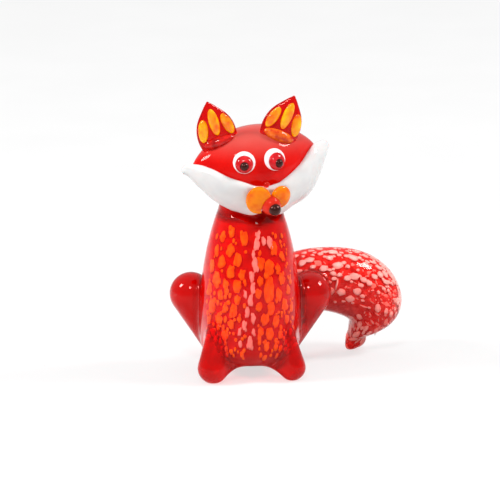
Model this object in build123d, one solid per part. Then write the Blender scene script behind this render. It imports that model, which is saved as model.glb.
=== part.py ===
from build123d import *
import math
import os

# A sitting fox of solid hot-worked glass. It faces -Y with +Z up and stands on the table at Z = 0.
# Left and right are the fox's own: its left side is +X.
# Every piece is a gather or a drop of glass melted on to the one before it, so a later piece is cut
# to the surface of the piece that carries it, and the two meet face to face.

# Torso: a bell of clear glass over an opaque core
torso_height = 41.0
torso_lift = 3.2
torso_radius = 11.3
torso_corner_radius = 4.6
torso_waist_height = 15.0
torso_neck_radius = 6.2
torso_casing_thickness = 1.1
torso_core_top_drop = 4.8

# Chips of crushed glass melted flush into the torso's core
chest_chip_width = 1.5
chest_chip_thickness = 0.5
chip_length_share = 1.6
chip_size_shares = (0.6, 0.85, 1.1, 1.45)
chip_punch_share = 3.0

# Front paws: drops that run down the torso to the table
paw_radius = 3.4
paw_size_step_share = 0.06
paw_leg_radius = 2.2
paw_leg_height = 12.5
paw_spread = 8.9
paw_forward = 7.6
paw_stagger = 1.2
paw_aside = 0.6
paw_leg_spread = 7.6
paw_leg_forward = 6.2
paw_web_radius = 1.1
paw_web_spread = 1.9
paw_web_forward = 6.6
paw_web_height = 4.9
paw_web_share = 0.9

# Haunches: drumsticks with the knee up and out and the foot in and down
knee_radius = 4.9
knee_spread = 13.5
knee_height = 17.1
knee_back = 5.0
foot_radius = 2.9
foot_spread = 6.4
foot_back = 6.2
haunch_aside = 0.1

# The glass flows flat where it stands: how far each foot ball is cut
flat_depth = 0.25

# Tail: a thick comma that leaves the back, swings to the fox's left and stands on its tip
tail_reach = 28.5
tail_height = 18.1
tail_back = 19.2
tail_thickness = 15.6
tail_casing_thickness = 0.9
tail_tip_radius = 1.25

# Chips melted flush into the tail's core
tail_chip_width = 1.7
tail_chip_thickness = 0.5

# Neck collar: a ring pressed in between head and torso
collar_radius = 6.4
collar_thickness = 1.8
collar_height = 39.8

# Head: a lemon on its side with upturned ends
head_width = 29.6
head_height = 20.0
head_depth = 17.2
head_sag = 2.7
head_origin_height = 50.8
head_forward = 1.5
head_aside = 0.8
head_turn_degrees = 20.0
head_roll_degrees = 5.0
head_pointedness = 0.82

# Cheeks: white bands along the lower front of the head, drawn out past its ends
cheek_reach = 16.85
cheek_reach_step_share = 0.015
cheek_height = 9.0
cheek_thickness = 4.2
cheek_tip_radius = 1.1
cheek_tip_forward_share = 0.23
cheek_tip_rise_share = 0.08

# Muzzle: two flattened drops, a dome over them, the nose at its end and a tiny drop above
pad_radius = 2.7
pad_thickness = 2.6
pad_lift = 2.6
pad_size_step_share = 0.08
snout_radius = 2.3
nose_radius = 1.4
bead_radius = 0.75

# Eyes: three dots on each other
eye_radius = 2.55
eye_thickness = 2.2
iris_radius = 2.0
iris_thickness = 2.4
pupil_radius = 1.0

# Radius of a flattened drop's rim, as a share of half its thickness
dot_rim_share = 0.6

# How far a drop is pressed into the piece that carries it, as a share of its own size
pressed_share = 0.25

# Ears: flattened leaves with three amber cells in the front face
ear_height = 9.6
ear_sink = 2.6
ear_width = 9.1
ear_base_width_share = 0.8
ear_thickness = 2.6
ear_tip_radius = 0.4
ear_turn_degrees = 12.0
petal_width = 2.3
petal_length = 5.6
petal_thickness = 1.3
petal_pressed_share = 0.125
ear_root_width = 7.4
ear_root_height = 3.0
ear_root_thickness = 3.4

SIDES = (("left", 1), ("right", -1))


def ellipsoid(half_x, half_y, half_z):
    return scale(Sphere(1), by=(half_x, half_y, half_z))


def dot(radius, thickness):
    """A flattened round drop, turned about Z: a shallow cap above and below, and a round rim."""
    rim = thickness / 2 * dot_rim_share
    rim_centre = radius - rim
    level = thickness / 2 - rim
    sink = (rim_centre**2 - level**2) / (2 * level)
    cap = thickness / 2 + sink
    lean = math.atan2(rim_centre, sink)
    touch = (cap * math.sin(lean), 0, cap * math.cos(lean) - sink)
    middle = (cap * math.sin(lean / 2), 0, cap * math.cos(lean / 2) - sink)
    outline = [
        ThreePointArc((0, 0, thickness / 2), middle, touch),
        ThreePointArc(touch, (radius, 0, 0), (touch[0], 0, -touch[2])),
        ThreePointArc((touch[0], 0, -touch[2]), (middle[0], 0, -middle[2]), (0, 0, -thickness / 2)),
        Line((0, 0, -thickness / 2), (0, 0, thickness / 2)),
    ]
    return revolve(make_face(outline), axis=Axis.Z)


def above_table(shape):
    """Cut off what lies below the table, which leaves the flat that the glass stands on."""
    size = torso_height
    return shape - Pos(0, 0, -size / 2) * Box(size * 2, size * 2, size)


def drop(fat_centre, fat_radius, thin_centre, thin_radius):
    """A ball that tapers smoothly into a smaller ball: two spheres and the cone that touches both."""
    reach = (thin_centre - fat_centre).length
    lean = math.asin((fat_radius - thin_radius) / reach)
    across, along = math.cos(lean), math.sin(lean)
    fat_touch = (fat_radius * across, 0, fat_radius * along)
    thin_touch = (thin_radius * across, 0, reach + thin_radius * along)
    fat_mid = math.radians(45) - lean / 2
    thin_mid = math.radians(45) + lean / 2
    outline = [
        ThreePointArc(
            (0, 0, -fat_radius),
            (fat_radius * math.cos(fat_mid - lean), 0, -fat_radius * math.sin(fat_mid - lean)),
            fat_touch,
        ),
        Line(fat_touch, thin_touch),
        ThreePointArc(
            thin_touch,
            (thin_radius * math.cos(thin_mid), 0, reach + thin_radius * math.sin(thin_mid)),
            (0, 0, reach + thin_radius),
        ),
        Line((0, 0, reach + thin_radius), (0, 0, -fat_radius)),
    ]
    solid = revolve(make_face(outline), axis=Axis.Z)
    return Plane(origin=fat_centre, z_dir=thin_centre - fat_centre) * solid


def bell(inset, top_drop):
    """The torso's form, drawn in all round by the inset and lowered at the top."""
    low = torso_lift + inset
    high = torso_height - top_drop
    radius = torso_radius - inset
    corner = torso_corner_radius - inset
    side_centre = torso_radius - torso_side_radius()
    side = torso_side_radius() - inset
    middle = (torso_waist_height + high) / 2

    def radius_at(height):
        return side_centre + math.sqrt(side**2 - (height - torso_waist_height) ** 2)

    start = (radius - corner, 0, low)
    diagonal = corner * math.sqrt(0.5)
    bend = (radius - corner + diagonal, 0, low + corner - diagonal)
    wall = (radius, 0, low + corner)
    waist = (radius, 0, torso_waist_height)
    neck = (radius_at(high), 0, high)
    outline = [
        Line((0, 0, low), start),
        ThreePointArc(start, bend, wall),
        Line(wall, waist),
        ThreePointArc(waist, (radius_at(middle), 0, middle), neck),
        Line(neck, (0, 0, high)),
        Line((0, 0, high), (0, 0, low)),
    ]
    return revolve(make_face(outline), axis=Axis.Z)


def torso_side_radius():
    """Radius of the arc that runs from the waist, where it is upright, to the neck."""
    rise = torso_height - torso_waist_height
    draw = torso_radius - torso_neck_radius
    return (rise**2 + draw**2) / (2 * draw)


def core_radius_at(height):
    """Radius of the torso's core at a height."""
    rise = max(0, height - torso_waist_height)
    side = torso_side_radius()
    return torso_radius - side + math.sqrt((side - torso_casing_thickness) ** 2 - rise**2)


# Chips on the chest: degrees round from the front towards the fox's left, share of the core's
# height, and size class
chest_white_places = (
    (20, 0.97, 1), (14, 0.925, 0), (10, 0.87, 1), (22, 0.885, 0), (31, 0.87, 1), (5, 0.80, 0),
    (7, 0.73, 2), (2, 0.64, 1), (3, 0.565, 1), (-5, 0.52, 0), (0, 0.475, 1), (-3, 0.395, 1),
    (4, 0.345, 1), (-7, 0.30, 1), (4, 0.25, 0), (-13, 0.25, 0), (0, 0.17, 2), (-12, 0.16, 0),
)
chest_orange_places = (
    (-48, 0.90, 1), (-32, 0.94, 1), (-9, 0.905, 2), (-56, 0.80, 1), (-30, 0.82, 2), (-42, 0.73, 2),
    (-17, 0.76, 2), (38, 0.83, 2), (50, 0.76, 1), (-60, 0.68, 2), (-27, 0.67, 2), (-11, 0.655, 1),
    (14, 0.73, 2), (27, 0.70, 3), (40, 0.68, 1), (-48, 0.60, 3), (-33, 0.58, 1), (-17, 0.57, 2),
    (13, 0.61, 1), (25, 0.60, 2), (44, 0.61, 2), (-60, 0.52, 2), (-40, 0.50, 1), (-16, 0.48, 1),
    (10, 0.525, 1), (23, 0.51, 3), (55, 0.52, 1), (38, 0.50, 2), (-53, 0.40, 3), (-32, 0.41, 1),
    (-20, 0.40, 2), (11, 0.43, 1), (27, 0.41, 2), (47, 0.42, 2), (60, 0.39, 1), (-58, 0.29, 1),
    (-41, 0.32, 2), (-24, 0.30, 1), (-13, 0.34, 0), (18, 0.335, 2), (33, 0.31, 2), (50, 0.31, 1),
    (-50, 0.21, 1), (-33, 0.21, 2), (13, 0.25, 1), (25, 0.225, 2), (40, 0.21, 1), (20, 0.14, 1),
)


def chest_punch(degrees_round, up, size_class):
    """A short elliptical rod square to the core's surface, which stamps one chip out of a layer."""
    low = torso_lift + torso_casing_thickness
    height = low + (torso_height - torso_core_top_drop - low) * up
    radius = core_radius_at(height)
    turn = math.radians(degrees_round)
    outward = Vector(math.sin(turn), -math.cos(turn), 0)
    across = Vector(math.cos(turn), math.sin(turn), 0)
    half_width = chest_chip_width / 2 * chip_size_shares[size_class]
    plane = Plane(origin=outward * radius + Vector(0, 0, height), x_dir=across, z_dir=outward)
    rod = Ellipse(half_width, half_width * chip_length_share)
    return extrude(plane * rod, amount=chest_chip_thickness * chip_punch_share, both=True)


def make_torso():
    """The core with its chips melted in, the two sorts of chip and the full outer form."""
    outer = bell(0, 0)
    core = bell(torso_casing_thickness, torso_core_top_drop)
    inner_inset = torso_casing_thickness + chest_chip_thickness
    layer = core - bell(inner_inset, torso_core_top_drop + chest_chip_thickness)
    white = layer & (Part() + [chest_punch(*place) for place in chest_white_places])
    orange = layer & (Part() + [chest_punch(*place) for place in chest_orange_places])
    orange = orange - white
    return outer, core, orange, white


def make_paw(side):
    """A drop on the table whose leg thins out up the torso, with a web to the torso's underside."""
    radius = paw_radius * (1 - side * paw_size_step_share)
    forward = -paw_forward + side * paw_stagger
    foot = Vector(paw_aside + side * paw_spread, forward, radius - flat_depth)
    leg = Vector(side * paw_leg_spread, -paw_leg_forward, paw_leg_height)
    inner = Vector(paw_aside + side * paw_web_spread, -paw_web_forward, paw_web_height)
    web = drop(foot, radius * paw_web_share, inner, paw_web_radius)
    return above_table(drop(foot, radius, leg, paw_leg_radius) + web)


def make_haunch(side):
    """A drumstick with its fat end, the knee, up and out."""
    knee = Vector(haunch_aside + side * knee_spread, knee_back, knee_height)
    foot = Vector(haunch_aside + side * foot_spread, foot_back, foot_radius - flat_depth)
    return above_table(drop(knee, knee_radius, foot, foot_radius))


HEAD_PLACE = (
    Pos(head_aside, -head_forward, head_origin_height)
    * Rot(0, 0, head_turn_degrees)
    * Rot(0, -head_roll_degrees, 0)
)
# Sections of the head, as shares of the way from its middle to either end
head_section_shares = (-0.985, -0.88, -0.7, -0.45, -0.2, 0, 0.2, 0.45, 0.7, 0.88, 0.985)
head_step_share = 0.01


def head_fullness(along):
    """Share of the head's full section at a share of the way from its middle to one end."""
    return (1 - along**2) ** head_pointedness


def head_point(along, degrees_up, lift):
    """A point on the head, or lifted off it: share along the width, and angle up from the front."""
    fullness = head_fullness(along)
    up = math.radians(degrees_up)
    return Vector(
        along * head_width / 2,
        -(head_depth / 2 * fullness + lift) * math.cos(up),
        -head_sag * (1 - along**2) + (head_height / 2 * fullness + lift) * math.sin(up),
    )


def on_head(along, degrees_up, lift, spin=0):
    """A place on the head with Z out of the glass and X along the head's width."""
    step = head_step_share
    point = head_point(along, degrees_up, lift)
    along_width = head_point(along + step, degrees_up, lift) - head_point(along - step, degrees_up, lift)
    upward = head_point(along, degrees_up + step, lift) - head_point(along, degrees_up - step, lift)
    outward = along_width.cross(upward)
    return HEAD_PLACE * Plane(origin=point, x_dir=along_width, z_dir=outward).location * Rot(0, 0, spin)


def make_head():
    faces = []
    for along in head_section_shares:
        fullness = head_fullness(along)
        centre = Vector(along * head_width / 2, 0, -head_sag * (1 - along**2))
        plane = Plane(origin=centre, x_dir=(0, 0, 1), z_dir=(1, 0, 0))
        faces.append(plane * Ellipse(head_height / 2 * fullness, head_depth / 2 * fullness))
    return HEAD_PLACE * loft(faces)


# Cheek stations from the middle of the face to the tip: shares of the reach, of half the head's
# depth and height, of half the cheek's height and thickness, and the lean of the band in degrees
cheek_station_shares = (
    (0.00, 0.66, -0.98, 1.00, 0.90, 46),
    (0.29, 0.68, -0.89, 1.05, 1.00, 42),
    (0.52, 0.61, -0.66, 0.98, 1.04, 37),
    (0.68, 0.51, -0.46, 0.86, 1.02, 32),
    (0.80, 0.41, -0.26, 0.68, 0.93, 27),
    (0.90, 0.32, -0.09, 0.47, 0.78, 20),
    (0.96, 0.26, 0.01, 0.33, 0.62, 10),
)


def make_cheek(reach):
    """A band on the fox's right. The other one mirrors its kind."""
    stations = []
    half_depth, half_height = head_depth / 2, head_height / 2
    for along, forward, rise, height, thickness, lean in cheek_station_shares:
        tilt = math.radians(lean)
        centre = Vector(-along * reach, -forward * half_depth, rise * half_height)
        band_up = Vector(0, -math.sin(tilt), math.cos(tilt))
        stations.append((centre, height * cheek_height / 2, thickness * cheek_thickness / 2, band_up))
    tip = Vector(-reach, -cheek_tip_forward_share * half_depth, cheek_tip_rise_share * half_height)
    stations.append((tip, cheek_tip_radius, cheek_tip_radius, Vector(0, 0, 1)))
    faces = []
    last = len(stations) - 1
    for index, (centre, half_up, half_thick, band_up) in enumerate(stations):
        if index == 0:
            direction = Vector(-1, 0, 0)
        else:
            direction = stations[min(index + 1, last)][0] - stations[index - 1][0]
        faces.append(Plane(origin=centre, x_dir=band_up, z_dir=direction) * Ellipse(half_up, half_thick))
    return loft(faces) + Pos(*tip) * Sphere(cheek_tip_radius)


# Face: shares along the head's width from its middle, degrees up from the front and lift in shares
# of each piece's own size
eye_middle_share = -0.085
eye_slope_degrees = 1.2
white_spread_share, white_up_degrees = 0.238, 22.3
iris_spread_share, iris_up_degrees = 0.252, 19.2
pupil_spread_share, pupil_up_degrees = 0.268, 16.5
pad_middle_share, pad_spread_share, pad_up_degrees = -0.035, 0.175, -20.5
nose_middle_share = -0.015
snout_up_degrees, nose_up_degrees, bead_up_degrees = -26.5, -26.0, -8.5


def make_eye(side):
    """White, iris and pupil, each pressed into the one before it."""
    slope = side * eye_slope_degrees
    white = on_head(eye_middle_share + side * white_spread_share, white_up_degrees - slope, 0)
    white = white * dot(eye_radius, eye_thickness)
    iris_lift = eye_thickness / 2 - iris_thickness * pressed_share
    iris = on_head(eye_middle_share + side * iris_spread_share, iris_up_degrees - slope, iris_lift)
    iris = iris * ellipsoid(iris_radius, iris_radius, iris_thickness / 2)
    pupil_lift = iris_lift + iris_thickness / 2 - pupil_radius / 2
    pupil_aside = eye_middle_share + side * pupil_spread_share
    pupil = on_head(pupil_aside, pupil_up_degrees - slope, pupil_lift) * Sphere(pupil_radius)
    return white, iris, pupil


def make_muzzle():
    """Two amber drops, the dome between them, the nose and the tiny drop above."""
    pads = {}
    for name, side in SIDES:
        place = on_head(pad_middle_share + side * pad_spread_share, pad_up_degrees, pad_lift)
        pads[name] = place * dot(pad_radius * (1 - side * pad_size_step_share), pad_thickness)
    snout_lift = pad_lift + pad_thickness * pressed_share
    snout = on_head(pad_middle_share, snout_up_degrees, snout_lift) * Sphere(snout_radius)
    nose_lift = snout_lift + snout_radius - nose_radius * pressed_share
    nose = on_head(nose_middle_share, nose_up_degrees, nose_lift) * Sphere(nose_radius)
    bead = on_head(pad_middle_share, bead_up_degrees, bead_radius / 2) * Sphere(bead_radius)
    return pads, snout, nose, bead


# Ears: share along the head's width, degrees up from the front and lean away from upright
ear_places = {"left": (0.33, 59.0, 23.5), "right": (-0.555, 82.0, -16.5)}
# Leaf stations from the sunk base to the tip: shares of the height, half width and half thickness
ear_station_shares = (
    (0.0, 0.97, 1.0), (0.2, 1.0, 1.0), (0.42, 0.92, 0.9), (0.60, 0.74, 0.78), (0.76, 0.48, 0.60),
    (0.90, 0.23, 0.40),
)
# Cells: shares of half the ear's width, of its height and of the cell's length, and lean in degrees
petal_place_shares = ((-0.63, 0.36, 0.95, 13), (0.0, 0.50, 1.15, 0), (0.63, 0.36, 0.95, -13))


def ear_place(name):
    along, degrees_up, lean = ear_places[name]
    base = HEAD_PLACE * Pos(*head_point(along, degrees_up, 0))
    return Pos(*base.position) * Rot(0, 0, ear_turn_degrees) * Rot(0, lean, 0)


def make_ear():
    """A pointed leaf that stands on its own origin and faces -Y."""
    faces = [Pos(0, 0, -ear_sink) * Ellipse(ear_width / 2 * ear_base_width_share, ear_thickness / 2)]
    for up, width, thickness in ear_station_shares:
        leaf = Ellipse(ear_width / 2 * width, ear_thickness / 2 * thickness)
        faces.append(Pos(0, 0, ear_height * up) * leaf)
    tip = Pos(0, 0, ear_height - ear_tip_radius)
    faces.append(tip * Ellipse(ear_tip_radius, ear_tip_radius))
    return loft(faces) + tip * Sphere(ear_tip_radius)


def make_petals():
    petals = []
    for aside, up, longer, lean in petal_place_shares:
        front = -ear_thickness / 2 * math.sqrt(1 - aside**2)
        front = front + petal_thickness * petal_pressed_share
        place = Pos(aside * ear_width / 2, front, up * ear_height) * Rot(0, lean, 0)
        petals.append(place * ellipsoid(petal_width / 2, petal_thickness / 2, petal_length / 2 * longer))
    return petals


def make_ear_root():
    place = Pos(0, -ear_thickness * pressed_share, 0)
    return place * ellipsoid(ear_root_width / 2, ear_root_thickness / 2, ear_root_height / 2)


# Tail stations from the hidden root to the tip: shares of reach, back and height for the centre,
# of half the thickness for the two half widths, and lean of the section in degrees
tail_station_shares = (
    (0.00, 0.34, 0.60, 0.45, 0.45, 0),
    (0.17, 0.47, 0.85, 0.72, 0.70, 0),
    (0.40, 0.625, 1.0, 0.90, 0.81, 0),
    (0.63, 0.73, 0.993, 0.95, 0.87, 4),
    (0.82, 0.83, 0.906, 1.0, 0.92, 16),
    (0.968, 0.91, 0.713, 0.95, 0.90, 42),
    (1.0, 0.953, 0.453, 0.82, 0.77, 69),
    (0.933, 0.98, 0.282, 0.56, 0.54, 77),
    (0.851, 0.995, 0.16, 0.29, 0.28, 77),
)
tail_tip_share = 0.805
# The ball at the end of the loft stands this share proud of the last section
tail_end_share = 1.1


def tail_sections():
    """Centre, the vector across the bend, the vector along the tail and the two half widths."""
    centres = [
        Vector(x * tail_reach, y * tail_back, z * tail_height) for x, y, z, *_ in tail_station_shares
    ]
    centres.append(tail_tip())
    sections = []
    for index, (*_, half, depth, lean) in enumerate(tail_station_shares):
        across = Vector(math.sin(math.radians(lean)), 0, math.cos(math.radians(lean)))
        spine = centres[index + 1] - centres[max(index - 1, 0)]
        along = (spine - across * spine.dot(across)).normalized()
        sections.append(
            (centres[index], across, along, half * tail_thickness / 2, depth * tail_thickness / 2)
        )
    return sections


def tail_tip():
    return Vector(tail_tip_share * tail_reach, tail_back, tail_tip_radius - flat_depth)


def tail_form(inset):
    """The tail, drawn in all round by the inset."""
    faces = []
    for centre, across, along, half, depth in tail_sections():
        plane = Plane(origin=centre, x_dir=across, z_dir=along)
        faces.append(plane * Ellipse(half - inset, depth - inset))
    end, *_, depth = tail_sections()[-1]
    thinned = (depth - inset) / depth
    fat = depth * tail_end_share * thinned
    return loft(faces) + drop(end, fat, tail_tip(), tail_tip_radius * thinned)


# Chips on the tail: station, share from the inner to the outer edge of the bend and size class
tail_white_places = (
    (2.1, 0.45, 1), (2.5, 0.75, 1), (2.6, 0.40, 2), (2.9, 0.10, 0), (3.2, 0.85, 2), (3.3, 0.50, 2),
    (3.4, 0.10, 1), (3.7, 0.80, 2), (3.75, 0.35, 2), (3.8, -0.15, 1), (4.0, 0.60, 2), (4.1, 0.10, 2),
    (4.25, 0.85, 2), (4.35, 0.35, 1), (4.4, -0.20, 1), (4.6, 0.65, 2), (4.7, 0.15, 2), (4.8, 0.88, 1),
    (4.9, -0.35, 1), (5.0, 0.45, 3), (5.2, 0.80, 2), (5.25, 0.05, 1), (5.4, 0.55, 3), (5.5, -0.30, 2),
    (5.7, 0.80, 1), (5.75, 0.25, 3), (5.95, -0.05, 2), (6.1, 0.60, 2), (6.3, 0.15, 2), (6.7, 0.35, 1),
)


def tail_punch(station, outward_share, size_class):
    """A rod square to the near side of the tail, which stamps one chip out of a layer."""
    sections = tail_sections()
    index = int(station)
    step = station - index
    centre, across, along, half, depth = (
        a + (b - a) * step for a, b in zip(sections[index], sections[index + 1])
    )
    near = across.cross(along)
    if near.Y > 0:
        near = -near
    angle = math.asin(outward_share)
    surface = centre + across * (half * math.sin(angle)) + near * (depth * math.cos(angle))
    outward = across * (math.sin(angle) / half) + near * (math.cos(angle) / depth)
    half_width = tail_chip_width / 2 * chip_size_shares[size_class]
    plane = Plane(origin=surface, x_dir=across.cross(outward), z_dir=outward)
    rod = Ellipse(half_width * chip_length_share, half_width)
    return extrude(plane * rod, amount=tail_chip_thickness * chip_punch_share, both=True)


def body_nodes(head_outside):
    """Torso, paws, haunches, collar and tail, cut to the outside of the head."""
    outer, core, orange, white = make_torso()
    ring = Pos(0, 0, collar_height) * Torus(collar_radius, collar_thickness / 2)
    nodes = {
        "torso_core": core - orange - white,
        "chest_frit_orange": orange,
        "chest_frit_white": white,
        "torso_casing": outer - core - head_outside,
        "neck_collar": ring - outer - head_outside,
    }
    body = outer
    for name, side in SIDES:
        haunch = make_haunch(side)
        nodes["front_paw_" + name] = make_paw(side) - outer
        nodes["haunch_" + name] = haunch - outer
        body = body + haunch
    tail = above_table(tail_form(0)) - body
    core = tail_form(tail_casing_thickness) - body
    layer = core - tail_form(tail_casing_thickness + tail_chip_thickness)
    frit = layer & (Part() + [tail_punch(*place) for place in tail_white_places])
    nodes["tail_core"] = core - frit
    nodes["tail_frit_white"] = frit
    nodes["tail_casing"] = tail - core
    return nodes


def face_nodes(head, cheeks):
    """Head, cheeks, eyes and muzzle, each cut by what is pressed into it."""
    nodes = {}
    trim = []
    for name, side in SIDES:
        eye_white, iris, pupil = make_eye(side)
        nodes["eye_white_" + name] = eye_white - iris - pupil
        nodes["iris_" + name] = iris - pupil
        nodes["pupil_" + name] = pupil
        trim += [eye_white, iris, pupil]
    pads, snout, nose, bead = make_muzzle()
    nodes["nose"] = nose
    nodes["snout"] = snout - nose
    nodes["snout_bead"] = bead
    nodes["muzzle_pad_right"] = pads["right"] - snout - nose - bead
    nodes["muzzle_pad_left"] = pads["left"] - pads["right"] - snout - nose - bead
    trim += [nose, snout, bead, pads["left"], pads["right"]]
    for name, _ in SIDES:
        nodes["cheek_" + name] = cheeks[name] - trim
    nodes["head"] = head - cheeks["left"] - cheeks["right"] - trim
    return nodes


def ear_nodes(head_outside):
    """Ears, their amber cells and the beads at their roots."""
    nodes = {}
    ear = make_ear()
    petals = make_petals()
    root = make_ear_root()
    for name, _ in SIDES:
        place = ear_place(name)
        nodes["ear_" + name] = place * (ear - petals) - head_outside
        nodes["ear_petals_" + name] = Part() + [place * petal for petal in petals]
        nodes["ear_root_" + name] = place * (root - ear - petals) - head_outside
    return nodes


def main():
    os.makedirs("parts", exist_ok=True)
    head = make_head()
    left, right = (make_cheek(cheek_reach * (1 - side * cheek_reach_step_share)) for _, side in SIDES)
    cheeks = {"left": HEAD_PLACE * mirror(left, about=Plane.YZ), "right": HEAD_PLACE * right}
    head_outside = head + cheeks["left"] + cheeks["right"]
    nodes = body_nodes(head_outside)
    nodes.update(face_nodes(head, cheeks))
    nodes.update(ear_nodes(head_outside))

    # The origin goes to the middle of the underside of the whole fox's box
    box = Compound([solid for node in nodes.values() for solid in node.solids()]).bounding_box()
    to_origin = Pos(-(box.min.X + box.max.X) / 2, -(box.min.Y + box.max.Y) / 2, -box.min.Z)
    print("torso axis at", to_origin.position, "whole size", box.size)
    for name, node in nodes.items():
        export_step(to_origin * node, "parts/" + name + ".step")
        print(name, len(node.solids()), "solids,", round(node.volume, 3), "mm3, valid", node.is_valid)


main()
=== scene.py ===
import math
import random

import bmesh
import bpy
import numpy as np
from mathutils import Matrix, Vector, noise
from mathutils.bvhtree import BVHTree


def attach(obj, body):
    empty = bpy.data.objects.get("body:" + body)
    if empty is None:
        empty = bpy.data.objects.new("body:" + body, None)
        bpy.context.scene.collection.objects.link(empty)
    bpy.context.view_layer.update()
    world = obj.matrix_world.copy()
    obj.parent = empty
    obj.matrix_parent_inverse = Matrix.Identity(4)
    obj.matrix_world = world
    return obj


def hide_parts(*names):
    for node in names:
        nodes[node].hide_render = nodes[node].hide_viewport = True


MM = 0.001
WELD = 0.001 * MM
SIDES = ("left", "right")
TORSO_AXIS = Vector((-8.193, -5.043, 0)) * MM

# The camera stands far in front of the fox and looks a little down on it
AIM = TORSO_AXIS + Vector((0, 0, 28.6)) * MM
DISTANCE = 2200 * MM
FIELD = 113.2 * MM
SENSOR = 36
TILT = math.radians(15)
CAMERA_UP = Vector((0, math.sin(TILT), math.cos(TILT)))
CAMERA_BACK = Vector((0, -math.cos(TILT), math.sin(TILT)))
LAMP_DISTANCE = 0.6

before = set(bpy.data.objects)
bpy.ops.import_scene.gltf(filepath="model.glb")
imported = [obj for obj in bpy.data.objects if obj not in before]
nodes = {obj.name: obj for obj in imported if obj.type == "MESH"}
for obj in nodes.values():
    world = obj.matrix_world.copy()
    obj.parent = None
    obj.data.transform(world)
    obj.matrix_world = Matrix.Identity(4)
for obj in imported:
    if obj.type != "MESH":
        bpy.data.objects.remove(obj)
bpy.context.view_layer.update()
scene = bpy.context.scene


# Shapes. Voxels are in mm, and so are the reaches of the melted joints.


def link(label, data):
    thing = bpy.data.objects.new(label, data)
    scene.collection.objects.link(thing)
    return thing


def smooth(piece):
    piece.data.polygons.foreach_set("use_smooth", [True] * len(piece.data.polygons))
    piece.data.update()


def as_piece(gather, label):
    """A new object from a bmesh, which is freed."""
    mesh = bpy.data.meshes.new(label)
    gather.to_mesh(mesh)
    gather.free()
    piece = link(label, mesh)
    smooth(piece)
    return piece


def gathered(names):
    """A bmesh with a copy of each named CAD node, its split edges joined."""
    gather = bmesh.new()
    for name in names:
        gather.from_mesh(nodes[name].data)
    bmesh.ops.remove_doubles(gather, verts=gather.verts, dist=WELD)
    return gather


def islands(gather):
    """The separate shells of a bmesh, as lists of their vertices."""
    seen = set()
    found = []
    for start in gather.verts:
        if start in seen:
            continue
        group, stack = [], [start]
        seen.add(start)
        while stack:
            vertex = stack.pop()
            group.append(vertex)
            for edge in vertex.link_edges:
                other = edge.other_vert(vertex)
                if other not in seen:
                    seen.add(other)
                    stack.append(other)
        found.append(group)
    return found


def keep_outer(piece):
    """Drop the small bubbles that the remesh leaves between faces that met."""
    gather = bmesh.new()
    gather.from_mesh(piece.data)
    *bubbles, _ = sorted(islands(gather), key=len)
    surplus = [vertex for shell in bubbles for vertex in shell]
    bmesh.ops.delete(gather, geom=surplus, context="VERTS")
    gather.to_mesh(piece.data)
    gather.free()


def remesh(piece, voxel):
    """Turn the piece into one closed, even mesh."""
    modifier = piece.modifiers.new("melt", "REMESH")
    modifier.mode = "VOXEL"
    modifier.voxel_size = voxel * MM
    graph = bpy.context.evaluated_depsgraph_get()
    mesh = bpy.data.meshes.new_from_object(piece.evaluated_get(graph))
    piece.modifiers.clear()
    old, piece.data = piece.data, mesh
    bpy.data.meshes.remove(old)


def points_of(mesh):
    flat = np.empty(len(mesh.vertices) * 3)
    mesh.vertices.foreach_get("co", flat)
    return flat.reshape(-1, 3)


def put_points(mesh, places):
    mesh.vertices.foreach_set("co", places.ravel())
    mesh.update()


def neighbours(mesh):
    """A function that gives, for an array of the vertices' places, the mean of each one's neighbours."""
    count = len(mesh.vertices)
    ends = np.empty(len(mesh.edges) * 2, np.int64)
    mesh.edges.foreach_get("vertices", ends)
    first, second = ends.reshape(-1, 2).T
    degree = np.bincount(first, minlength=count) + np.bincount(second, minlength=count)

    def mean_of(places):
        totals = [
            np.bincount(first, values[second], count) + np.bincount(second, values[first], count)
            for values in places.T
        ]
        return np.array(totals).T / degree[:, None]

    return mean_of


def relax(piece, turns, weights=1):
    """Draw each vertex towards its neighbours, as surface tension does to hot glass."""
    places = points_of(piece.data)
    mean_of = neighbours(piece.data)
    pull = 0.5 * np.broadcast_to(weights, len(places))[:, None]
    for _ in range(turns):
        places += pull * (mean_of(places) - places)
    put_points(piece.data, places)


def fill(piece, turns, weights):
    """Let the glass gather in the hollows between its swellings, and leave the swellings as they are."""
    rise, turns_per_normals = 0.6, 8
    mesh = piece.data
    places = points_of(mesh)
    mean_of = neighbours(mesh)
    normals = np.empty(len(places) * 3)
    for turn in range(turns):
        if turn % turns_per_normals == 0:
            put_points(mesh, places)
            mesh.vertex_normals.foreach_get("vector", normals)
            outward = normals.reshape(-1, 3)
        step = mean_of(places) - places
        rising = (step * outward).sum(1) > 0
        places += (rise * weights * rising)[:, None] * step
    put_points(mesh, places)


def near_paws(piece):
    """1 round the paws and their webs, 0 behind the torso's middle and above the paws."""
    behind, depth_fade = 1.0, 2.5
    top, height_fade = 17.0, 6.0
    places = points_of(piece.data) / MM
    front = np.clip((TORSO_AXIS.y / MM + behind - places[:, 1]) / depth_fade, 0, 1)
    low = np.clip((top - places[:, 2]) / height_fade, 0, 1)
    return front * low


def tree_of(mesh):
    corners = [vertex.co for vertex in mesh.vertices]
    return BVHTree.FromPolygons(corners, [tuple(face.vertices) for face in mesh.polygons])


def fillet_weights(piece, reaches):
    """How strongly each vertex relaxes: 1 on the joint between two CAD nodes, 0 at their reach."""
    search = 5 * MM
    trees = [(tree_of(nodes[name].data), reach * MM) for name, reach in reaches.items()]
    weights = np.zeros(len(piece.data.vertices))
    for index, vertex in enumerate(piece.data.vertices):
        near = []
        for tree, reach in trees:
            place, _, _, distance = tree.find_nearest(vertex.co, search)
            if place is not None:
                near.append((distance, reach))
        near.sort()
        if len(near) > 1:
            share = min(1, near[1][0] / max(near[0][1], near[1][1]))
            weights[index] = 1 - share * share * (3 - 2 * share)
    return weights


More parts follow.
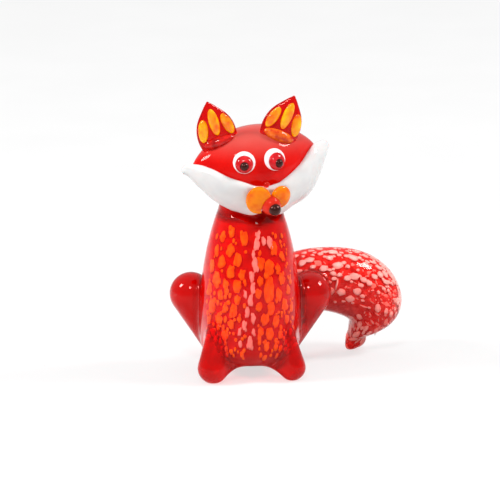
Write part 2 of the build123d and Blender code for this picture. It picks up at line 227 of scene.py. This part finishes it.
def mark_thick(piece, share_of):
    """Keep on each vertex how thick and milky the clear glass is there, from 0 to 1."""
    layer = piece.data.attributes.new("thick", "FLOAT", "POINT")
    layer.data.foreach_set("value", [share_of(vertex.co) for vertex in piece.data.vertices])


def tuck(piece, others, near=0.14 * MM, depth=0.2 * MM):
    """Push the faces that meet another piece a little way into it, so that no two faces coincide."""
    for other in others:
        tree = tree_of(other.data)
        for vertex in piece.data.vertices:
            place, normal, _, _ = tree.find_nearest(vertex.co, near)
            if place is not None:
                vertex.co = place - normal * depth
    piece.data.update()


def melted(names, label, voxel, turns):
    """The named CAD nodes as one piece with softened edges."""
    piece = as_piece(gathered(names), label)
    remesh(piece, voxel)
    relax(piece, turns)
    smooth(piece)
    return piece


HEAD_PLACE = (
    Matrix.Translation(TORSO_AXIS + Vector((0.8, -1.5, 50.8)) * MM)
    @ Matrix.Rotation(math.radians(20), 4, "Z")
    @ Matrix.Rotation(math.radians(-5), 4, "Y")
)
HEAD_HALVES = Vector((14.8, 8.6, 10.0)) * MM
HEAD_SAG = 2.7 * MM
HEAD_POINTEDNESS = 0.82


def make_head():
    """The head's lemon as one even skin, whole under the bands and dots that are melted on to it."""
    rings, turns = 120, 96
    gather = bmesh.new()
    loops = []
    for ring in range(1, rings):
        along = -math.cos(math.pi * ring / rings)
        fullness = (1 - along**2) ** HEAD_POINTEDNESS
        centre = -HEAD_SAG * (1 - along**2)
        loop = []
        for turn in range(turns):
            angle = 2 * math.pi * turn / turns
            depth = HEAD_HALVES.y * fullness * math.cos(angle)
            height = centre + HEAD_HALVES.z * fullness * math.sin(angle)
            place = HEAD_PLACE @ Vector((along * HEAD_HALVES.x, -depth, height))
            loop.append(gather.verts.new(place))
        loops.append(loop)
    for first, second in zip(loops, loops[1:]):
        for turn in range(turns):
            after = (turn + 1) % turns
            gather.faces.new((first[turn], first[after], second[after], second[turn]))
    for end, loop in ((-1, loops[0]), (1, loops[-1])):
        point = gather.verts.new(HEAD_PLACE @ Vector((end * HEAD_HALVES.x, 0, 0)))
        for turn in range(turns):
            gather.faces.new((loop[turn], loop[(turn + 1) % turns], point))
    bmesh.ops.recalc_face_normals(gather, faces=gather.faces)
    return as_piece(gather, "head_glass")


# The bands as they lie on the face, in mm across and up as the photographer saw them: across, the
# plain band's upper and lower edge, and how far each of them moves up
BAND_EDGES = (
    (-15.2, 46.2, 45.0, -0.5, -0.5), (-13.9, 47.0, 43.2, 0.3, 1.1), (-10.7, 46.1, 39.5, 1.0, 1.8),
    (-7.9, 44.8, 37.4, 1.3, 1.4), (-4.3, 43.2, 36.0, 1.2, 0.9), (-0.9, 41.3, 35.1, 1.5, 1.7),
    (2.0, 39.8, 34.5, 1.6, 2.6), (4.8, 40.0, 34.5, 1.6, 2.4), (7.2, 41.4, 36.8, 1.4, 0.8),
    (9.1, 43.7, 38.7, 1.1, -0.1), (11.8, 47.3, 41.1, 0.9, -0.9), (13.1, 48.8, 42.3, 1.0, -1.1),
    (14.5, 50.3, 44.1, 1.2, -1.0), (15.4, 51.3, 45.5, 0.6, -0.8), (17.2, 52.6, 48.7, -0.5, 0.2),
    (18.0, 52.6, 50.0, -0.7, -0.7),
)

# The way up the lower face as the photographer saw it, which comes forward as it rises
UP_THE_FACE = np.array(CAMERA_UP) + np.array((0, -0.35, 0))

# How far each amber drop ran down the face before it set: its share of more height, and in mm how
# far its upper edge lies above that of the plain drop
PAD_SAG = {"right": (0.22, 0.25), "left": (0.13, 0.0)}


def settle_bands(piece):
    """Lift and widen the bands to the line that the hot glass took."""
    places = points_of(piece.data)
    seen = (places - np.array(TORSO_AXIS)) / MM
    across = seen[:, 0]
    up = seen[:, 1] * CAMERA_UP.y + seen[:, 2] * CAMERA_UP.z
    table = np.array(BAND_EDGES).T
    top, bottom, top_move, bottom_move = (np.interp(across, table[0], row) for row in table[1:])
    share = np.clip((up - bottom) / (top - bottom), 0, 1)
    move = bottom_move + (top_move - bottom_move) * share
    put_points(piece.data, places + move[:, None] * UP_THE_FACE * MM)


def sag(piece, more, lift):
    """Lengthen a drop down the face."""
    places = points_of(piece.data)
    up = places @ np.array(CAMERA_UP)
    drop = (up.max() - up) * more - lift * MM
    put_points(piece.data, places - drop[:, None] * UP_THE_FACE)


# Materials


class Tree:
    """A node tree, and short ways to add nodes to it."""

    def __init__(self, owner):
        owner.use_nodes = True
        self.tree = owner.node_tree

    def feed(self, node, inputs):
        """Give each input, by name or number, a value or the output of another node."""
        for name, value in inputs.items():
            if isinstance(value, bpy.types.NodeSocket):
                self.tree.links.new(value, node.inputs[name])
            else:
                node.inputs[name].default_value = value

    def add(self, kind, inputs=None, **settings):
        node = self.tree.nodes.new(kind)
        for name, value in settings.items():
            setattr(node, name, value)
        self.feed(node, inputs or {})
        return node

    def height(self, place):
        return self.add("ShaderNodeSeparateXYZ", {"Vector": place}).outputs["Z"]

    def remap(self, value, start, end, low=0.0, high=1.0, curve="LINEAR"):
        """A value that goes from low to high while the given one goes from start to end."""
        inputs = {"Value": value, "From Min": start, "From Max": end, "To Min": low, "To Max": high}
        return self.add("ShaderNodeMapRange", inputs, interpolation_type=curve).outputs["Result"]

    def calculate(self, operation, first, second):
        node = self.add("ShaderNodeMath", {0: first, 1: second}, operation=operation)
        return node.outputs["Value"]

    def mix(self, kind, share, first, second):
        inputs = {"Factor": share, "A": first, "B": second}
        return self.add("ShaderNodeMix", inputs, data_type=kind).outputs["Result"]

    def seen_directly(self):
        """1 for what is seen straight on or through clear glass, 0 for bounced light."""
        rays = self.add("ShaderNodeLightPath").outputs
        return self.calculate("MAXIMUM", rays["Is Camera Ray"], rays["Is Transmission Ray"])


class Shader(Tree):
    """A material with a Principled shader."""

    def __init__(self, label):
        self.material = bpy.data.materials.new(label)
        super().__init__(self.material)
        self.principled = self.tree.nodes["Principled BSDF"]
        self.output = self.tree.nodes["Material Output"]
        self.place = self.add("ShaderNodeTexCoord").outputs["Object"]

    def set(self, **values):
        """Feed inputs of the Principled shader, with _ for each space in their names."""
        self.feed(self.principled, {name.replace("_", " "): value for name, value in values.items()})

    def noise(self, scale, detail):
        inputs = {"Vector": self.place, "Scale": scale, "Detail": detail}
        return self.add("ShaderNodeTexNoise", inputs).outputs["Fac"]

    def drift(self, scale, detail, first, second, stops=(0.3, 0.7)):
        """A colour that wanders between two."""
        node = self.add("ShaderNodeValToRGB", {"Fac": self.noise(scale, detail)})
        for element, stop, colour in zip(node.color_ramp.elements, stops, (first, second)):
            element.position = stop
            element.color = (*colour, 1)
        return node.outputs["Color"]

    def ripple(self, scale, height):
        """Faint waves in the surface, with their height in mm."""
        inputs = {"Height": self.noise(scale, 1.0), "Distance": height * MM, "Strength": 1.0}
        self.set(Normal=self.add("ShaderNodeBump", inputs).outputs["Normal"])

    def blend(self, share, other):
        """Put another shader in the Principled one's place for a share of the rays."""
        inputs = {"Fac": share, 1: self.principled.outputs["BSDF"], 2: other}
        mixed = self.add("ShaderNodeMixShader", inputs).outputs["Shader"]
        self.feed(self.output, {"Surface": mixed})


WARM_TINT = (1, 0.45, 0.42, 1)


def glassy(label, dark, light, scale=220, roughness=0.06, wave=0.02, milkiness=0.0, gloss=0.35):
    """Opaque coloured glass: colour that drifts a little, under a clear even gloss."""
    shader = Shader(label)
    shader.set(Base_Color=shader.drift(scale, 2.0, dark, light), Roughness=roughness, IOR=1.5)
    shader.set(Specular_IOR_Level=gloss)
    shader.ripple(160, wave)
    if milkiness:
        shader.set(Subsurface_Weight=milkiness, Subsurface_Radius=(1.0, 0.5, 0.4))
        shader.set(Subsurface_Scale=0.8 * MM)
    return shader


def top_painted_reflection(label, dark, light, milk_and_reflection):
    """Opaque glass with a painted reflection of an overhead light: a pale colour that fades in towards
    its top, in patches.
    """
    reflection_start, reflection_full = 51 * MM, 57.5 * MM
    shader = glassy(label, dark, light, wave=0.015)
    colour = shader.principled.inputs["Base Color"].links[0].from_socket
    # Painted reflection: the pale colour rises with height over the top of the head and is patchy by
    # noise, standing in for the overhead light's reflection
    reflection_rise = shader.remap(shader.height(shader.place), reflection_start, reflection_full, curve="SMOOTHSTEP")
    reflection_patches = shader.drift(120, 2.0, (0.7, 0.7, 0.7), (1, 1, 1), (0.3, 0.6))
    cloud_and_reflection = shader.calculate("MULTIPLY", reflection_rise, reflection_patches)
    shader.set(Base_Color=shader.mix("RGBA", cloud_and_reflection, colour, (*milk_and_reflection, 1)), Specular_Tint=WARM_TINT)
    return shader


def embedded(label, dark, light, scale=500):
    """Coloured glass sealed inside clear glass, so without a gloss of its own."""
    shader = Shader(label)
    shader.set(Base_Color=shader.drift(scale, 3.0, dark, light), Roughness=0.6)
    shader.set(Specular_IOR_Level=0.0)
    return shader


def clear(label, absorbed, density, milk_and_reflection, cloud_and_reflection, wave=0.03):
    """Clear glass that soaks up green and blue with depth, and is a little milky where it is thick."""
    stain_full = 0.08
    shader = Shader(label)
    thick = shader.add("ShaderNodeAttribute", attribute_name="thick").outputs["Fac"]
    thin_colour = shader.drift(150, 2.0, (1, 0.78, 0.74), (1, 0.84, 0.8))
    stain = shader.remap(thick, 0.0, stain_full)
    shader.set(Base_Color=shader.mix("RGBA", stain, thin_colour, (*milk_and_reflection, 1)))
    shader.set(Transmission_Weight=shader.remap(thick, 0.0, 1.0, 1.0, 1.0 - cloud_and_reflection))
    shader.set(Roughness=0.03, IOR=1.45, Specular_Tint=WARM_TINT)
    shader.ripple(110, wave)
    through = shader.add("ShaderNodeBsdfTransparent", {"Color": (0.92, 0.92, 0.92, 1)})
    rays = shader.add("ShaderNodeLightPath").outputs
    shader.blend(rays["Is Shadow Ray"], through.outputs["BSDF"])
    depth = {"Color": (*absorbed, 1), "Density": density}
    volume = shader.add("ShaderNodeVolumeAbsorption", depth)
    shader.feed(shader.output, {"Volume": volume.outputs["Volume"]})
    return shader


body_red = clear("clear_red_glass", (0.975, 0.15, 0.05), 900, (0.66, 0.0, 0.0), 0.5)
drop_red = clear("snout_red_glass", (1.0, 0.25, 0.08), 1000, (0.86, 0.03, 0.01), 0.6, wave=0.01)
ear_red = clear("ear_red_glass", (0.98, 0.1, 0.02), 1500, (0.7, 0.0, 0.0), 0.3)
core_red = embedded("core_red_glass", (0.5, 0.0, 0.0), (0.66, 0.006, 0.0))
tail_red = embedded("tail_core_glass", (0.52, 0.01, 0.01), (0.8, 0.12, 0.1), 700)
chip_orange = embedded("orange_chip_glass", (1.0, 0.24, 0.0), (1.0, 0.45, 0.01), 900)
chip_white = embedded("white_chip_glass", (0.97, 0.85, 0.84), (1.0, 1.0, 1.0), 900)
# The head's top carries a painted reflection of the overhead light, in a pale pinkish red
head_red = top_painted_reflection("head_red_glass", (0.58, 0.0, 0.0), (0.68, 0.003, 0.001), (0.56, 0.085, 0.07))
white_glass = glassy(
    "white_glass", (0.62, 0.61, 0.61), (0.71, 0.7, 0.69), milkiness=0.25, gloss=0.2
)
eye_white = glassy("eye_white_glass", (0.85, 0.7, 0.72), (0.92, 0.85, 0.86), 900, wave=0.005)
amber = glassy(
    "amber_glass", (0.76, 0.11, 0.0), (0.86, 0.25, 0.0), 500, milkiness=0.4, gloss=0.2
)
petal_amber = glassy("petal_amber_glass", (0.9, 0.1, 0.0), (1.0, 0.5, 0.0), 420, milkiness=0.5)
root_glass = {
    "right": glassy(
        "ear_root_red_glass", (0.32, 0.0, 0.0), (0.66, 0.01, 0.005), 900, wave=0.15, gloss=0.3
    ),
    "left": glassy(
        "ear_root_amber_glass", (0.5, 0.005, 0.0), (0.86, 0.17, 0.01), 700, wave=0.15, gloss=0.3
    ),
}
iris_red = glassy(
    "iris_red_glass", (0.45, 0.0, 0.005), (0.65, 0.01, 0.015), 700, roughness=0.02, wave=0.0
)
black = glassy(
    "black_glass", (0.012, 0.003, 0.002), (0.03, 0.006, 0.005), 700, roughness=0.03, wave=0.0, gloss=0.5
)
black.set(Specular_Tint=(1, 0.4, 0.35, 1))


def finish_piece(piece, shader, slot, *replaced):
    piece.data.materials.clear()
    piece.data.materials.append(shader.material)
    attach(piece, "root")
    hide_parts(*replaced)


# Body: torso casing, paws, haunches, collar and tail casing melted into one skin round the cores

SKIN_REACHES = {
    "torso_casing": 1.6,
    "neck_collar": 1.2,
    "front_paw_left": 5.0,
    "front_paw_right": 5.0,
    "haunch_left": 1.6,
    "haunch_right": 1.6,
    "tail_casing": 1.6,
}
CORES = ("torso_core", "tail_core")

skin = as_piece(gathered([*SKIN_REACHES, *CORES]), "body_glass")
remesh(skin, 0.3)
keep_outer(skin)
relax(skin, 110, fillet_weights(skin, SKIN_REACHES))
fill(skin, 160, near_paws(skin))
relax(skin, 3)
smooth(skin)
core_trees = [tree_of(nodes[name].data) for name in CORES]


def skin_thickness(place):
    """0 where the skin is only the casing of a core, 1 where it is solid clear glass."""
    casing, haze = 1.5, 1.6
    depth = min(tree.find_nearest(place)[3] for tree in core_trees) / MM
    return min(1, max(0, (depth - casing) / haze))


mark_thick(skin, skin_thickness)


# Face and ears

CHEEK_REACHES = {"cheek_left": 1.8, "cheek_right": 1.8}

head = make_head()
cheeks = as_piece(gathered(CHEEK_REACHES), "cheek_glass")
remesh(cheeks, 0.2)
fill(cheeks, 60, fillet_weights(cheeks, CHEEK_REACHES))
settle_bands(cheeks)
relax(cheeks, 30)
smooth(cheeks)


def drops():
    """Each small piece: its CAD node, label, voxel, turns of softening, glass and slot."""
    for side in SIDES:
        yield "muzzle_pad_" + side, "muzzle_pad_glass_" + side, 0.1, 6, amber, "amber"
        yield "eye_white_" + side, "eye_white_glass_" + side, 0.08, 5, eye_white, "white_glass"
        yield "iris_" + side, "iris_glass_" + side, 0.07, 4, iris_red, "clear_red"
        yield "pupil_" + side, "pupil_glass_" + side, 0.06, 2, black, "black_glass"
        yield "ear_" + side, "ear_glass_" + side, 0.12, 6, ear_red, "clear_red"
        yield "ear_petals_" + side, "ear_petal_glass_" + side, 0.08, 4, petal_amber, "amber"
        yield "ear_root_" + side, "ear_root_glass_" + side, 0.1, 4, root_glass[side], "amber_red"
    yield "snout", "snout_glass", 0.08, 4, drop_red, "clear_red"
    yield "nose", "nose_glass", 0.06, 2, black, "black_glass"
    yield "snout_bead", "snout_bead_glass", 0.05, 2, drop_red, "clear_red"


small = {name: melted([name], label, voxel, turns) for name, label, voxel, turns, _, _ in drops()}
for side in SIDES:
    sag(small["muzzle_pad_" + side], *PAD_SAG[side])

pads = [small["muzzle_pad_" + side] for side in SIDES]
tuck(skin, [head, cheeks], 0.35 * MM, 0.6 * MM)
tuck(small["snout"], [head, cheeks, *pads, small["nose"]])
tuck(small["snout_bead"], [head, cheeks, *pads])
mark_thick(small["snout"], lambda place: 1)
mark_thick(small["snout_bead"], lambda place: 0.4)
for side in SIDES:
    mark_thick(small["ear_" + side], lambda place: 1)
    tuck(small["ear_" + side], [head, small["ear_petals_" + side]])
    tuck(small["ear_root_" + side], [head, small["ear_petals_" + side]])


# Chips: each CAD chip of the chest gets a broken, stretched outline, small ones are strewn between
# them, and the tail's are strewn all round it


def blob(gather, centre, axes, halves, seed, fineness=2):
    """An uneven tablet: a ball scaled to the chip's own axes, pushed in and out by noise."""
    made = bmesh.ops.create_icosphere(gather, subdivisions=fineness, radius=1)
    for vertex in made["verts"]:
        ball = vertex.co.copy()
        wobble = 1 + 0.38 * noise.noise(ball * 1.3 + Vector((seed * 7.1, seed * 3.7, 0)))
        wobble += 0.16 * noise.noise(ball * 3.1 + Vector((0, seed * 5.3, seed)))
        local = Vector((ball.x * halves[0], ball.y * halves[1], ball.z * halves[2])) * wobble
        vertex.co = centre + axes[0] * local.x + axes[1] * local.y + axes[2] * local.z


def broken_chips(gather, name, longer, wider, lift, seed):
    """Each CAD chip of a node as one large grain with two small ones at its edge."""
    half_height, grain_half_height = 0.22 * MM, 0.2 * MM
    wide_above = 31 * MM
    picker = random.Random(seed)
    kept = []
    solids = gathered([name])
    groups = [np.array([tuple(vertex.co) for vertex in shell]) for shell in islands(solids)]
    solids.free()
    for index, group in enumerate(groups):
        centre = (group.max(0) + group.min(0)) / 2
        _, _, rows = np.linalg.svd(group - group.mean(0), full_matrices=False)
        spans = [np.ptp((group - centre) @ row) / 2 for row in rows]
        order = np.argsort(spans)[::-1]
        axes = [Vector(rows[i]) for i in order]
        from_axis = (Vector(centre) - TORSO_AXIS) * Vector((1, 1, 0))
        outward = axes[2] if axes[2].dot(from_axis) > 0 else -axes[2]
        place = Vector(centre) + outward * lift * MM
        thinned = wider if place.z < wide_above else wider ** 0.3
        halves = [spans[order[0]] * longer, spans[order[1]] * thinned, half_height]
        blob(gather, place, axes, halves, index + 1, fineness=3)
        for grain in (1, 2):
            along = axes[0] * halves[0] * picker.uniform(-0.9, 0.9)
            aside = axes[1] * halves[1] * picker.choice((-0.8, 0.8))
            size = picker.uniform(0.3, 0.5)
            small_halves = (halves[0] * size, halves[1] * size * 1.2, grain_half_height)
            blob(gather, place + (along + aside), axes, small_halves, index + grain * 97)
        kept.append((place, halves[0]))
    return kept


def scatter(gather, name, rule, kept, tries, seed):
    """Strew more chips over a core where the rule lets them lie, clear of those already kept."""
    half_height = 0.2 * MM
    picker = random.Random(seed)
    mesh = nodes[name].data
    mesh.calc_loop_triangles()
    triangles = list(mesh.loop_triangles)
    ends = np.cumsum([triangle.area for triangle in triangles])
    for attempt in range(tries):
        triangle = triangles[int(np.searchsorted(ends, picker.random() * ends[-1]))]
        a, b = picker.random(), picker.random()
        if a + b > 1:
            a, b = 1 - a, 1 - b
        corners = [mesh.vertices[i].co for i in triangle.vertices]
        place = corners[0] + (corners[1] - corners[0]) * a + (corners[2] - corners[0]) * b
        outward = triangle.normal.copy()
        chip = rule(place, outward, picker)
        if chip is None:
            continue
        width, stretch, along, spacing, lift = chip
        if any((place - other).length < spacing * (width + size) for other, size in kept):
            continue
        kept.append((place, width * (1 + stretch) / 2))
        length = (along - outward * along.dot(outward)).normalized()
        axes = (length, outward.cross(length), outward)
        halves = (width * stretch, width, half_height)
        blob(gather, place + outward * lift, axes, halves, attempt + 1)


def chest_speck(place, outward, picker):
    """Small orange chips between the large ones, on the front of the torso."""
    lowest, dense_below, highest = 6, 24, 34
    side_limit, column, column_half = 64, 2, 7
    across = place.x - TORSO_AXIS.x
    turn = math.degrees(math.atan2(across, TORSO_AXIS.y - place.y))
    height = place.z / MM
    in_column = abs(turn - column) < column_half
    if outward.y > -0.2 or abs(turn) > side_limit or in_column or not lowest < height < highest:
        return None
    width, stretch = picker.uniform(0.22, 0.6) * MM, picker.uniform(1.1, 2.0)
    spacing = 1.05 if height > dense_below else 0.92
    return width, stretch, Vector((0.1, 0, 1)), spacing, 0.28 * MM


TAIL_SPINE = [
    TORSO_AXIS + Vector(place) * MM
    for place in (
        (0.0, 6.5, 10.9), (4.9, 9.0, 15.4), (11.4, 11.9, 18.1), (18.0, 13.9, 18.0),
        (23.4, 15.8, 16.4), (27.6, 17.4, 12.9), (28.5, 18.2, 8.2), (26.6, 18.7, 5.1),
        (24.3, 19.0, 2.9), (23.0, 19.2, 1.0),
    )
]


def along_tail(place):
    """Share of the way along the tail, and the direction of its spine there."""
    best = (math.inf, 0, None)
    last = len(TAIL_SPINE) - 1
    for index in range(last):
        start, step = TAIL_SPINE[index], TAIL_SPINE[index + 1] - TAIL_SPINE[index]
        share = max(0, min(1, (place - start).dot(step) / step.length_squared))
        distance = (place - start - step * share).length
        if distance < best[0]:
            best = (distance, (index + share) / last, step.normalized())
    return best[1:]


def tail_chip(place, outward, picker):
    """Chips round the tail, denser on the outside of its bend and drawn out towards the tip."""
    root, inside_end, tip_start, tip = 0.12, 0.7, 0.6, 0.9
    share, spine = along_tail(place)
    inside = max(0, outward.dot(Vector((0.3, 0, -1)))) * (share < inside_end)
    if not root < share < tip or picker.random() > 0.1 + 1.1 * share - 0.8 * inside:
        return None
    drawn = max(0, share - tip_start)
    width = picker.choice((0.35, 0.5, 0.7, 0.9)) * MM * (1.2 - 0.75 * share)
    stretch = picker.uniform(1.2, 1.7) + 7 * drawn
    lean = Matrix.Rotation(picker.uniform(-0.4, 0.4) * (1.1 - share), 3, outward)
    past_root = min(1, max(0, (share - 0.3) / 0.2))
    outer = max(0, outward.dot(Vector((0.75, 0, 0.66)))) * past_root
    lift = (0.32 - 0.4 * drawn) * MM
    return width, stretch, lean @ spine, 1.1 - 0.35 * share - 0.3 * outer, lift


white_bed, orange_bed, tail_bed = bmesh.new(), bmesh.new(), bmesh.new()
kept = broken_chips(white_bed, "chest_frit_white", longer=1.2, wider=0.7, lift=0.5, seed=3)
kept += broken_chips(orange_bed, "chest_frit_orange", longer=1.08, wider=0.95, lift=0.45, seed=7)
scatter(orange_bed, "torso_core", chest_speck, kept, tries=3600, seed=5)
scatter(tail_bed, "tail_core", tail_chip, [], tries=6500, seed=11)
orange = as_piece(orange_bed, "orange_chips")
white = as_piece(white_bed, "white_chips")
tail_white = as_piece(tail_bed, "tail_white_chips")
torso_core = melted(
    ["torso_core", "chest_frit_orange", "chest_frit_white"], "torso_core_glass", 0.35, 6
)
tail_core = melted(["tail_core", "tail_frit_white"], "tail_core_glass", 0.35, 6)
keep_outer(torso_core)
keep_outer(tail_core)

finish_piece(skin, body_red, "clear_red", *SKIN_REACHES)
finish_piece(orange, chip_orange, "chip_orange", "chest_frit_orange")
finish_piece(white, chip_white, "chip_white", "chest_frit_white")
finish_piece(tail_white, chip_white, "chip_white", "tail_frit_white")
finish_piece(torso_core, core_red, "core_red", "torso_core")
finish_piece(tail_core, tail_red, "core_red", "tail_core")
finish_piece(head, head_red, "head_red", "head")
finish_piece(cheeks, white_glass, "white_glass", "cheek_left", "cheek_right")
for name, _, _, _, glass, slot in drops():
    finish_piece(small[name], glass, slot, name)


# Stage: a pale floor, a soft bright room above and three soft lamps


def make_floor():
    gather = bmesh.new()
    bmesh.ops.create_grid(gather, x_segments=1, y_segments=1, size=3)
    floor = as_piece(gather, "floor")
    shader = Shader("floor_paper")
    paper = shader.drift(40, 4.0, (0.71, 0.71, 0.71), (0.75, 0.75, 0.75))
    shader.set(Base_Color=paper, Roughness=0.9, Specular_IOR_Level=0.1)
    glow = shader.add("ShaderNodeEmission", {"Strength": 1.03})
    share = shader.calculate("MULTIPLY", shader.seen_directly(), 0.6)
    shader.blend(share, glow.outputs["Emission"])
    floor.data.materials.append(shader.material)


def make_world():
    scene.world = bpy.data.worlds.new("room")
    room = Tree(scene.world)
    height = room.height(room.add("ShaderNodeTexCoord").outputs["Generated"])
    light = room.remap(height, 0.2, 0.85, 0.55, 0.66, "SMOOTHSTEP")
    level = room.mix("FLOAT", room.seen_directly(), light, 1.0)
    room.feed(room.tree.nodes["Background"], {"Color": (1, 1, 1, 1), "Strength": level})


def look_at(thing, place, target):
    thing.location = place
    thing.rotation_euler = (target - place).to_track_quat("-Z", "Y").to_euler()


def make_lamp(label, right, up, back, size, power):
    """A round lamp on the given way from the fox, as the camera sees it."""
    lamp = bpy.data.lights.new(label, "AREA")
    lamp.shape = "DISK"
    lamp.size = size
    lamp.energy = power
    way = Vector((1, 0, 0)) * right + CAMERA_UP * up + CAMERA_BACK * back
    look_at(link(label, lamp), AIM + way.normalized() * LAMP_DISTANCE, AIM)


def make_camera():
    camera = bpy.data.cameras.new("camera")
    camera.sensor_width = SENSOR
    camera.lens = SENSOR * DISTANCE / FIELD
    camera.clip_start = 0.01
    scene.camera = link("camera", camera)
    look_at(scene.camera, AIM + CAMERA_BACK * DISTANCE, AIM)


make_floor()
make_world()
make_lamp("key", -0.75, 0.55, 0.33, size=0.16, power=2.3)
make_lamp("fill", 0.73, 0.66, 0.17, size=0.16, power=2.1)
make_lamp("front", -0.1, 0.5, 0.86, size=0.1, power=1.0)
make_camera()
scene.view_settings.view_transform = "Standard"
